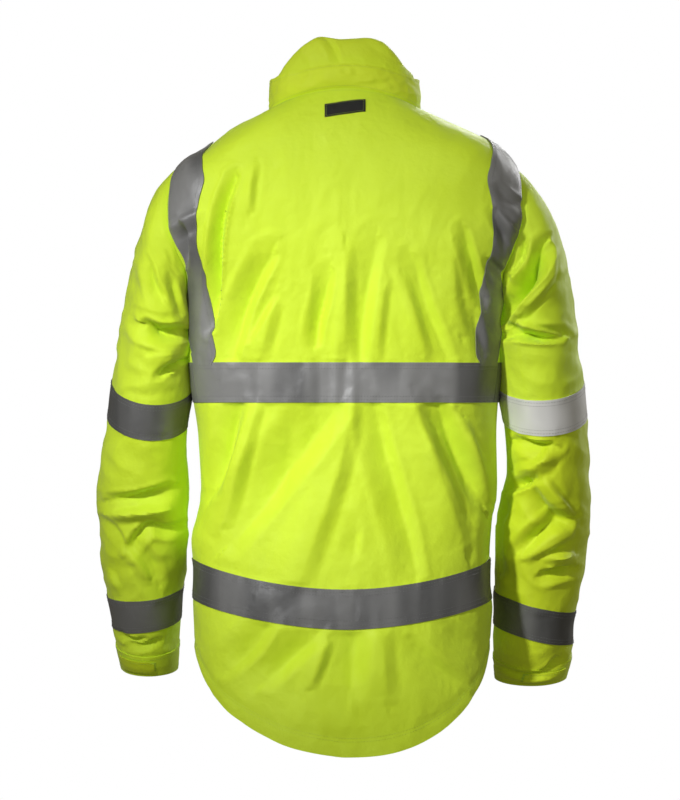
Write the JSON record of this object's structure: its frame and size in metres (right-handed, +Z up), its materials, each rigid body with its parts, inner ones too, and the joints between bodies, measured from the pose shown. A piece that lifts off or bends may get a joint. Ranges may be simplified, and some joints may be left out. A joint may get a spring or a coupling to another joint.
{
  "type": "high-visibility turnout coat",
  "caption": "Lime-yellow high-visibility coat with silver reflective bands and shoulder tapes, stowed hood, front zip under a storm flap, patch pockets and a drop tail.",
  "frame": {"origin": "centre back neck, where a hook bears on the hanger loop, just inside the collar seam", "axes": "+Z up, the coat's front faces -Y and its back +Y, +X is the wearer's left"},
  "size_m": [0.612, 0.2857, 0.8965],
  "materials": {
    "shell": "coated woven fabric, satin",
    "lining": "open mesh",
    "collar_cloth": "coated woven fabric, padded",
    "hood_cloth": "coated woven fabric, rolled",
    "label": "woven, blank",
    "loop": "woven strip",
    "tape": "glass-bead retroreflective",
    "zip_tape": "knitted tape",
    "zip_plastic": "moulded",
    "slider_metal": "painted",
    "pull_plastic": "moulded",
    "snap_metal": "nickelled",
    "hook_loop": "hook and loop pile"
  },
  "bodies": {
    "coat": {"back_upper": "shell", "back_lower": "shell", "left_front": "shell", "right_front": "shell", "body_lining": "lining", "collar": "collar_cloth", "stowed_hood": "hood_cloth", "neck_label": "label", "hanger_loop": "loop", "chest_tape_back": "tape", "chest_tape_left": "tape", "chest_tape_right": "tape", "hem_tape_back": "tape", "hem_tape_left": "tape", "hem_tape_right": "tape", "left_brace_tape": "tape", "right_brace_tape": "tape", "zip_tapes": "zip_tape", "zip_teeth": "zip_plastic", "zip_stops": "zip_plastic", "flap_snap_sockets": "snap_metal", "left_pocket": "shell", "right_pocket": "shell"},
    "slider": {"zip_slider": "slider_metal"},
    "pull": {"zip_pull": "pull_plastic"},
    "front_flap": {"storm_flap": "shell", "flap_tapes": "tape", "flap_snap_caps": "snap_metal"},
    "left_pocket_flap": {"left_pocket_flap": "shell", "left_pocket_snap": "snap_metal"},
    "left_sleeve": {"left_sleeve_head": "shell", "left_upper_sleeve": "shell", "left_arm_tape": "tape"},
    "left_forearm": {"left_elbow_sleeve": "shell", "left_forearm_sleeve": "shell", "left_wrist_tape": "tape", "left_cuff": "shell", "left_cuff_patch": "hook_loop"},
    "left_tab": {"left_cuff_tab": "shell"},
    "right_pocket_flap": {"right_pocket_flap": "shell", "right_pocket_snap": "snap_metal"},
    "right_sleeve": {"right_sleeve_head": "shell", "right_upper_sleeve": "shell", "right_arm_tape": "tape"},
    "right_forearm": {"right_elbow_sleeve": "shell", "right_forearm_sleeve": "shell", "right_wrist_tape": "tape", "right_cuff": "shell", "right_cuff_patch": "hook_loop"},
    "right_tab": {"right_cuff_tab": "shell"}
  },
  "joints": [
    {"name": "zip_slide", "type": "slide", "parent": "coat", "child": "slider", "axis": [0, -0.1221, -0.9925], "range_m": [0, 0.653]},
    {"name": "zip_pull_swing", "type": "hinge", "parent": "slider", "child": "pull", "pos_m": [0, -0.13546, -0.02135], "axis": [-1, 0, 0], "range_deg": [0, 150]},
    {"name": "storm_flap_open", "type": "hinge", "parent": "coat", "child": "front_flap", "pos_m": [0.032, -0.17928, -0.39974], "axis": [0, 0.1221, 0.9925], "range_deg": [0, 110]},
    {"name": "left_pocket_flap_lift", "type": "hinge", "parent": "coat", "child": "left_pocket_flap", "pos_m": [0.12743, -0.16101, -0.42789], "axis": [-0.8936, -0.4489, 0.0018], "range_deg": [0, 110]},
    {"name": "left_shoulder_raise", "type": "hinge", "parent": "coat", "child": "left_sleeve", "pos_m": [0.2, -0.062, -0.125], "axis": [0, -1, 0], "range_deg": [0, 60], "deforming": ["left_sleeve_head"]},
    {"name": "left_elbow_bend", "type": "hinge", "parent": "left_sleeve", "child": "left_forearm", "pos_m": [0.2505, -0.1025, -0.508], "axis": [-1, 0, 0], "range_deg": [0, 90], "deforming": ["left_elbow_sleeve"]},
    {"name": "left_cuff_tab_peel", "type": "hinge", "parent": "left_forearm", "child": "left_tab", "pos_m": [0.27669, -0.12752, -0.72694], "axis": [-0.1955, -0.3266, -0.9247], "range_deg": [0, 120]},
    {"name": "right_pocket_flap_lift", "type": "hinge", "parent": "coat", "child": "right_pocket_flap", "pos_m": [-0.12743, -0.16101, -0.42789], "axis": [-0.8936, 0.4489, -0.0018], "range_deg": [0, 110]},
    {"name": "right_shoulder_raise", "type": "hinge", "parent": "coat", "child": "right_sleeve", "pos_m": [-0.2, -0.062, -0.125], "axis": [0, 1, 0], "range_deg": [0, 60], "deforming": ["right_sleeve_head"]},
    {"name": "right_elbow_bend", "type": "hinge", "parent": "right_sleeve", "child": "right_forearm", "pos_m": [-0.2505, -0.1025, -0.508], "axis": [-1, 0, 0], "range_deg": [0, 90], "deforming": ["right_elbow_sleeve"]},
    {"name": "right_cuff_tab_peel", "type": "hinge", "parent": "right_forearm", "child": "right_tab", "pos_m": [-0.27669, -0.12752, -0.72694], "axis": [-0.1955, 0.3266, 0.9247], "range_deg": [0, 120]}
  ]
}
